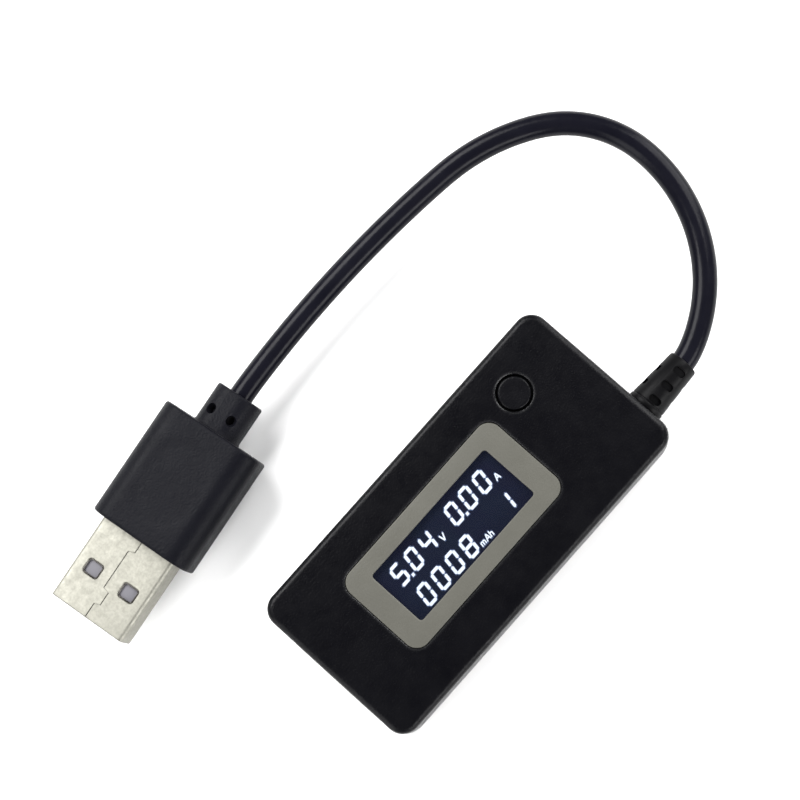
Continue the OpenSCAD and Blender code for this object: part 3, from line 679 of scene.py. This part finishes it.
def readout_bars():
    """All lit shapes, measured from the window's lower left corner."""
    figure = (1.9, 3.05, 0.44)
    upper, lower = WINDOW[1] - 4.15, WINDOW[1] - 8.5
    pitch = 2.78
    shapes = []
    for text, start, row in (("504", 1.5, upper), ("000", 12.25, upper), ("0008", 1.98, lower)):
        for place, digit in enumerate(text):
            shapes += slanted(figure_bars(digit, *figure), (start + pitch * place, row))
    shapes += slanted(figure_bars("1", 1.5, 2.8, 0.42), (18.2, lower + 0.1))
    dot = [[(0, 0), (0.4, 0), (0.4, 0.42), (0, 0.42)]]
    for x in (3.62, 14.37):
        shapes += slanted(dot, (x, upper - 0.02))
    shapes += slanted(letter_bars("V", 1.0, 0.2), (9.7, upper + 0.05))
    shapes += slanted(letter_bars("A", 1.0, 0.2), (20.45, upper + 0.05))
    for letter, x in (("m", 12.75), ("A", 13.65), ("h", 14.5)):
        shapes += slanted(letter_bars(letter, 0.95, 0.18), (x, lower + 0.05))
    return shapes


def flat_shapes(name, shapes, z, thickness, grow):
    """Thin solid for each outline, grown outwards from its middle by grow."""
    bm = bmesh.new()
    origin = Vector((DISPLAY[0] - WINDOW[0] / 2, DISPLAY[1] - WINDOW[1] / 2))
    for shape in shapes:
        points = [Vector(p) + origin for p in shape]
        middle = sum(points, Vector((0, 0))) / len(points)
        points = [p + (p - middle).normalized() * grow for p in points]
        rows = [[bm.verts.new((p.x, p.y, height)) for p in points] for height in (z, z + thickness)]
        count = len(points)
        for i in range(count):
            j = (i + 1) % count
            bm.faces.new((rows[0][i], rows[0][j], rows[1][j], rows[1][i]))
        bm.faces.new(rows[0])
        bm.faces.new(rows[1])
    return make_object(name, bm)


def build_readout():
    shapes = readout_bars()
    top = PANE_LOW.z
    put(flat_shapes("readout_halo", shapes, top + 0.03, 0.02, 0.16), "meter", HALO)
    put(flat_shapes("readout_segments", shapes, top + 0.08, 0.02, 0.0), "meter", SEGMENT)


# ---------- button ----------

def build_button():
    radius = BUTTON_CAP / 2
    top = BUTTON_HIGH.z
    edge = 0.28
    rim = [
        (radius - edge * (1 - math.cos(math.radians(a))), top - edge * (1 - math.sin(math.radians(a))))
        for a in range(0, 91, 15)
    ]
    profile = [(0, BUTTON_LOW.z), (1.7, BUTTON_LOW.z), (1.7, 9.7), (3.1, 9.7), (3.1, 10.4), (radius, 10.4)]
    profile += rim + [(radius * 0.55, top - 0.03), (0, top - 0.05)]
    cap = lathe("button_top", profile, (*BUTTON, 0), steps=96)
    return put(cap, "button", BUTTON_PLASTIC, "button_cap")


def build_dome():
    """Snap dome of the switch, a softened copy on the meter body."""
    dome = put(softened_copy("switch_dome_piece", "switch_dome", 0.01), "meter", TIN, "switch_dome")
    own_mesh(dome)
    return dome


# ---------- cable ----------

def cable_path():
    """Centre line of the whole cable every half millimetre, from inside the case to inside the plug."""
    step = 0.5
    points, heading = [], math.radians(CABLE_START_HEADING)
    lead = int((CASE_HINGE.x - RELIEF_LOW.x) / step)
    for i in range(lead):
        points.append(Vector((RELIEF_LOW.x + i * step, CASE_HINGE.y, CABLE_Z)))
    here = Vector((CASE_HINGE.x, CASE_HINGE.y, CABLE_Z))
    for radius, turn in CABLE_BENDS:
        sweep = math.radians(turn)
        count = max(2, round(radius * sweep / step))
        for i in range(count):
            a = heading + sweep * i / count
            points.append(here + radius * Vector((math.sin(a) - math.sin(heading),
                                                  math.cos(heading) - math.cos(a), 0)))
        end = heading + sweep
        across = Vector((math.sin(end) - math.sin(heading), math.cos(heading) - math.cos(end), 0))
        here = here + radius * across
        heading = end
    along = Vector((math.cos(math.radians(PLUG_HEADING)), math.sin(math.radians(PLUG_HEADING)), 0))
    points += [here + along * step * i for i in range(int(GRIP_START / step))]
    for _ in range(14):
        points = [points[0]] + [
            (a + 2 * b + c) / 4 for a, b, c in zip(points, points[1:], points[2:])
        ] + [points[-1]]
    return points


def tube(name, path, radius, sides=40):
    """Round tube along a level path, closed at both ends."""
    rings = []
    for i, point in enumerate(path):
        ahead = path[min(i + 1, len(path) - 1)] - path[max(i - 1, 0)]
        across = Vector((-ahead.y, ahead.x, 0)).normalized()
        rings.append([
            point + radius * (math.cos(2 * math.pi * k / sides) * across
                              + math.sin(2 * math.pi * k / sides) * Vector((0, 0, 1)))
            for k in range(sides)
        ])
    return loft(name, rings, 60)


def nearest(path, point):
    return min(range(len(path)), key=lambda i: (path[i] - Vector(point)).length)


def build_cable():
    """Three lengths of cable, each spanning one hinge and meeting the next halfway between two hinges."""
    path = cable_path()
    first, middle, last = [nearest(path, h) for h in (CASE_HINGE, MIDDLE_HINGE, PLUG_HINGE)]
    seam_one = (first + middle) // 2
    seam_two = (middle + last) // 2
    reach = 20
    lengths = (
        ("cable_lead", 0, seam_one, first - 3, first + reach, "meter", "cable_bend"),
        ("cable_loop", seam_one, seam_two, middle - reach, middle + reach, "cable_bend", "cable_run"),
        ("cable_tail", seam_two, len(path) - 1, last - reach, last + 2, "cable_run", "plug"),
    )
    stands_for = {
        "cable_lead": ("meter_jacket",), "cable_loop": ("bend_jacket", "bend_cores"),
        "cable_tail": ("run_jacket", "run_cores", "plug_jacket"),
    }
    for name, start, end, bend_from, bend_to, body_a, body_b in lengths:
        piece = tube(name, path[start:end + 1], CABLE_RADIUS)
        piece.data.materials.append(RUBBER)
        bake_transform(piece)
        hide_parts(*stands_for[name])


def build_relief():
    """Slotted sleeve with a flange inside the case and a collar against it."""
    wall, tip = CASE_HIGH.x, RELIEF_HIGH.x
    flange = [
        (SLEEVE_BORE, wall - 2.35), (FLANGE_RADIUS, wall - 2.35), (FLANGE_RADIUS, wall - 1.5),
        (2.2, wall - 1.45), (2.2, wall + 0.05),
    ]
    collar = [
        (2.55, wall + 0.1), (2.62, wall + 0.2), (2.62, wall + 0.8), (2.58, wall + 0.9), (2.5, wall + 0.95),
    ]
    sleeve = [
        (2.5, wall + 1.1), (2.54, wall + 1.15), (2.14, tip - 0.25), (2.0, tip - 0.06), (SLEEVE_BORE, tip),
    ]
    bm = bmesh.new()
    steps = 64
    rows = []
    for radius, x in flange + collar + sleeve:
        rows.append([
            bm.verts.new((x, CASE_HINGE.y + radius * math.cos(2 * math.pi * i / steps),
                          CABLE_Z + radius * math.sin(2 * math.pi * i / steps))) for i in range(steps)
        ])
    rows.append(rows[0])
    for lower, upper in zip(rows, rows[1:]):
        for i in range(steps):
            j = (i + 1) % steps
            bm.faces.new((lower[i], lower[j], upper[j], upper[i]))
    relief = make_object("relief_sleeve", bm, 50)
    slots = []
    for i in range(3):
        for quarter in range(4):
            x = wall + SLOT_START + SLOT_PITCH * (i + quarter % 2 / 2)
            if x + SLOT_SIZE[0] > tip - 0.4:
                continue
            shape = loft("slot", [rounded_loop(SLOT_SIZE, 0.45, z, 5) for z in (CABLE_RADIUS + 0.12, 3.2)])
            turn = Matrix.Translation((x, CASE_HINGE.y, CABLE_Z)) @ Matrix.Rotation(
                math.radians(90 * quarter + 14), 4, "X")
            slots.append(transform(shape, turn))
    cut(relief, *slots)
    smooth(relief, 40)
    return put(relief, "meter", RELIEF, "strain_relief")


# ---------- plug ----------

PLUG_FRAME = (
    Matrix.Translation((PLUG_HINGE.x, PLUG_HINGE.y, CABLE_Z))
    @ Matrix.Rotation(math.radians(PLUG_HEADING), 4, "Z") @ Matrix.Rotation(math.radians(PLUG_ROLL), 4, "X")
)


def cross_section(x, size, radius, corner_steps=8, side_steps=1):
    """Rounded rectangle across the plug at distance x, width along Y and height along Z."""
    loop = rounded_loop(size, radius, 0, corner_steps, side_steps)
    return [Vector((x, p.x, p.y)) for p in loop]


def thumb_dish(x, y):
    """Depth of the shallow oval dish in the grip's broad faces."""
    middle = (GRIP_START + GRIP_END) / 2
    reach = math.hypot((x - middle) / 6.6, y / 5.2)
    if reach >= 1:
        return 0
    return 0.05 * min(1, (1 - reach) / 0.12)


def build_grip():
    steps, edge = 16, 0.35
    rings = []

    def ring(x, size, radius):
        rings.append(cross_section(x, size, radius, 8, steps))

    for angle in range(0, 91, 30):
        inset = 0.3 * (1 - math.sin(math.radians(angle)))
        x = NECK_START + 0.3 * (1 - math.cos(math.radians(angle)))
        ring(x, (NECK_SIZE[0] - 2 * inset, NECK_SIZE[1] - 2 * inset), 2.7 - inset)
    ring(GRIP_START - 0.3, NECK_SIZE, 2.7)
    ring(GRIP_START, (NECK_SIZE[0] + 0.3, NECK_SIZE[1] + 0.3), 2.8)
    for angle in range(0, 91, 30):
        inset = edge * (1 - math.sin(math.radians(angle)))
        x = GRIP_START + edge * (1 - math.cos(math.radians(angle)))
        ring(x, (GRIP_SIZE[0] - 2 * inset, GRIP_SIZE[1] - 2 * inset), 3 - inset)
    count = 60
    for i in range(1, count):
        ring(GRIP_START + edge + (GRIP_END - GRIP_START - 2 * edge) * i / count, GRIP_SIZE, 3)
    for angle in range(0, 91, 30):
        inset = edge * (1 - math.cos(math.radians(angle)))
        x = GRIP_END - edge * (1 - math.sin(math.radians(angle)))
        ring(x, (GRIP_SIZE[0] - 2 * inset, GRIP_SIZE[1] - 2 * inset), 3 - inset)
    for points in rings:
        for p in points:
            if abs(p.z) > GRIP_SIZE[1] / 2 - 0.02 and GRIP_START < p.x < GRIP_END:
                p.z -= math.copysign(thumb_dish(p.x, p.y), p.z)
    grip = loft("plug_grip_body", rings)
    cutters = [loft("shell_pocket", [cross_section(x, (12.06, 4.56), 0.5, 4) for x in (19.7, GRIP_END + 1)])]
    for angle in DIMPLE_ANGLES:
        hole = lathe("dimple", [(0, 2.2), (0.66, 2.2), (0.66, 3.05), (0.8, 3.3), (0.8, 5), (0, 5)], steps=32)
        place = Matrix.Translation((GRIP_START - DIMPLE_BACK, 0, 0))
        cutters.append(transform(hole, Matrix.Rotation(math.radians(angle), 4, "X") @ place))
    cut(grip, *cutters)
    smooth(grip, 32)
    transform(grip, PLUG_FRAME)
    return put(grip, "plug", GRIP, "plug_grip")


def seam_outline():
    """The dovetail seam along the top of the shell, as a thin ribbon."""
    half_width, start = 0.035, GRIP_END - 0.2
    side = [
        (0, 0.65), (1.9, 0.65), (2.2, -0.25), (8.1, -0.25),
        (8.35, 0.7), (10.3, 0.7), (10.55, -0.15), (13, -0.15),
    ]
    upper = [(start + x, y + half_width) for x, y in side]
    lower = [(start + x, y - half_width) for x, y in reversed(side)]
    return upper + lower


def build_plug_shell():
    inner = (SHELL_SIZE[0] - 2 * SHEET, SHELL_SIZE[1] - 2 * SHEET)
    start = cad_start("plug_shell")
    rings = [cross_section(x, SHELL_SIZE, SHELL_CORNER) for x in (start, SHELL_TIP - 0.12)]
    rings.append(cross_section(SHELL_TIP, (SHELL_SIZE[0] - 0.16, SHELL_SIZE[1] - 0.16), 0.54))
    shell = loft("plug_shell_sheet", rings)
    cutters = [loft("hollow", [cross_section(x, inner, 0.34) for x in (start - 1, SHELL_TIP + 1)])]
    for place in LATCH_PLACES:
        for face in (-1, 1):
            window = flared_prism("window", LATCH_WINDOW, LATCH_CORNER, 1.5, SHELL_SIZE[1] / 2, 0.07, place)
            cutters.append(transform(window, Matrix.Rotation(math.pi * (face < 0), 4, "X")))
    cutters.append(prism("seam", seam_outline(), SHELL_SIZE[1] / 2 - 0.14, SHELL_SIZE[1] / 2 + 0.5))
    cut(shell, *cutters)
    smooth(shell, 30)
    transform(shell, PLUG_FRAME)
    return put(shell, "plug", SHELL, "plug_shell")


def build_window_shade_rims():
    """Dark ring inside each of the four latch windows: painted shade for the shadowed walls of the sheet."""
    rims = []
    shade_width = 0.2
    bore_size = (LATCH_WINDOW[0] - 2 * shade_width, LATCH_WINDOW[1] - 2 * shade_width)
    for place in LATCH_PLACES:
        for face in (-1, 1):
            rim = flared_prism("rim", LATCH_WINDOW, LATCH_CORNER, 1.96, 2.19, 0, place)
            bore = flared_prism("bore", bore_size, 0.34, 1.5, 3, 0, place)
            top = box_solid("top", (place[0] - 3, place[1] - 3, 2.19), (place[0] + 3, place[1] + 3, 5))
            cut(rim, bore, top)
            rims.append(transform(rim, Matrix.Rotation(math.pi * (face < 0), 4, "X")))
    shade_rims = transform(join("plug_window_shade_rims", rims), PLUG_FRAME)
    return put(shade_rims, "plug", SHADE_RIM_METAL)


def cad_start(node):
    """Smallest distance of a plug node from the hinge along the plug."""
    inverse = PLUG_FRAME.inverted()
    return min((inverse @ (v.co / MM)).x for v in frame["nodes"][node].data.vertices)


# ---------- CAD pieces that keep their shape ----------

KEPT = {
    "lcd_front_polariser": FIELD, "lcd_front_glass": GLASS, "lcd_rear_glass": GLASS,
    "lcd_rear_polariser": FIELD, "backlight_guide": WHITE, "backlight_led": WHITE, "display_holder": WHITE,
    "lcd_pins": TIN, "circuit_board": BOARD, "microcontroller": CHIP, "memory_chip": CHIP,
    "voltage_regulator": CHIP, "current_shunt": CERAMIC, "chip_capacitors": CERAMIC, "chip_resistors": CHIP,
    "switch_base": CHIP, "switch_cover": TIN, "switch_plunger": CHIP,
    "red_wire": RED, "white_wire": PALE, "green_wire": GREEN, "black_wire": BLACK,
    "plug_cores": COPPER_CORES, "plug_inner_mould": WHITE,
}


def dress_kept_nodes():
    for node, material in KEPT.items():
        mesh = frame["nodes"][node].data
        mesh.materials.clear()
        mesh.materials.append(material)


def build_softened():
    """Connector pieces with a CAD shape and rounded edges."""
    for node, body, material, width in (
        ("usb_socket_shell", "meter", SHELL, 0.08), ("usb_socket_insulator", "meter", WHITE, 0.08),
        ("usb_socket_contacts", "meter", GOLD, 0.04), ("plug_insulator", "plug", TONGUE, 0.08),
        ("plug_contacts", "plug", GOLD, 0.04),
    ):
        put(softened_copy(node + "_piece", node, width), body, material, node)


# ---------- stage ----------

def build_stage():
    bm = bmesh.new()
    bmesh.ops.create_circle(bm, cap_ends=True, segments=96, radius=360)
    floor = make_object("floor", bm)
    floor.location.z = -0.00005
    nodes = Nodes("floor_paper")
    nodes.link(nodes.blend_colors(nodes.noise(30.0), (0.90, 0.90, 0.90), (0.92, 0.92, 0.92)),
               nodes.shader.inputs["Base Color"])
    nodes.shader.inputs["Roughness"].default_value = 0.9
    nodes.shader.inputs["Specular IOR Level"].default_value = 0.1
    floor.data.materials.append(nodes.material)


def softbox(name, place, target, size, power):
    light = bpy.data.lights.new(name, "AREA")
    light.shape = "RECTANGLE"
    light.size, light.size_y = size
    light.energy = power
    lamp = bpy.data.objects.new(name, light)
    lamp.location = place
    lamp.rotation_mode = "QUATERNION"
    lamp.rotation_quaternion = (Vector(target) - Vector(place)).to_track_quat("-Z", "Y")
    bpy.context.collection.objects.link(lamp)


def build_lights():
    world = bpy.data.worlds.new("studio")
    bpy.context.scene.world = world
    world.use_nodes = True
    background = world.node_tree.nodes["Background"]
    background.inputs["Color"].default_value = (1.0, 1.0, 1.0, 1)
    # White where the camera sees past the floor, dim where it only fills the shadows
    strength = world.node_tree.nodes.new("ShaderNodeMapRange")
    strength.inputs["To Min"].default_value = 0.22
    strength.inputs["To Max"].default_value = 1.0
    seen = world.node_tree.nodes.new("ShaderNodeLightPath")
    world.node_tree.links.new(seen.outputs["Is Camera Ray"], strength.inputs["Value"])
    world.node_tree.links.new(strength.outputs["Result"], background.inputs["Strength"])
    softbox("key", (0.0, 0.36, 0.36), (0.0, 0.01, 0.0), (0.46, 0.26), 5.2)
    softbox("side", (0.42, 0.0, 0.24), (0.02, 0.01, 0.0), (0.22, 0.46), 2.6)
    softbox("fill", (-0.46, 0.0, 0.22), (-0.02, 0.01, 0.0), (0.22, 0.46), 1.5)
    softbox("front", (0.0, -0.44, 0.24), (0.0, 0.0, 0.0), (0.5, 0.2), 3.0)


def set_tones():
    """Plain tone curve, so that the pale floor is white and the black plastic stays black."""
    bpy.context.scene.view_settings.view_transform = "Standard"


def build_camera():
    """Camera above the case, turned so that the case lies across the picture from lower left to right."""
    camera = bpy.data.objects.new("camera", bpy.data.cameras.new("camera"))
    camera.data.lens = 97.2
    camera.data.sensor_width = 36
    camera.location = (-0.0030, -0.01825, 0.29599)
    camera.rotation_mode = "ZXY"
    camera.rotation_euler = (0.1249, -0.03237, -0.84711)
    camera.data.clip_start = 0.01
    bpy.context.collection.objects.link(camera)
    bpy.context.scene.camera = camera


# ---------- build ----------

build_top_cover()
build_bottom_cover()
build_bezel()
build_pane()
build_readout()
build_button()
build_dome()
build_cable()
build_relief()
build_grip()
build_plug_shell()
build_window_shade_rims()
build_softened()
dress_kept_nodes()
build_stage()
build_lights()
build_camera()
set_tones()
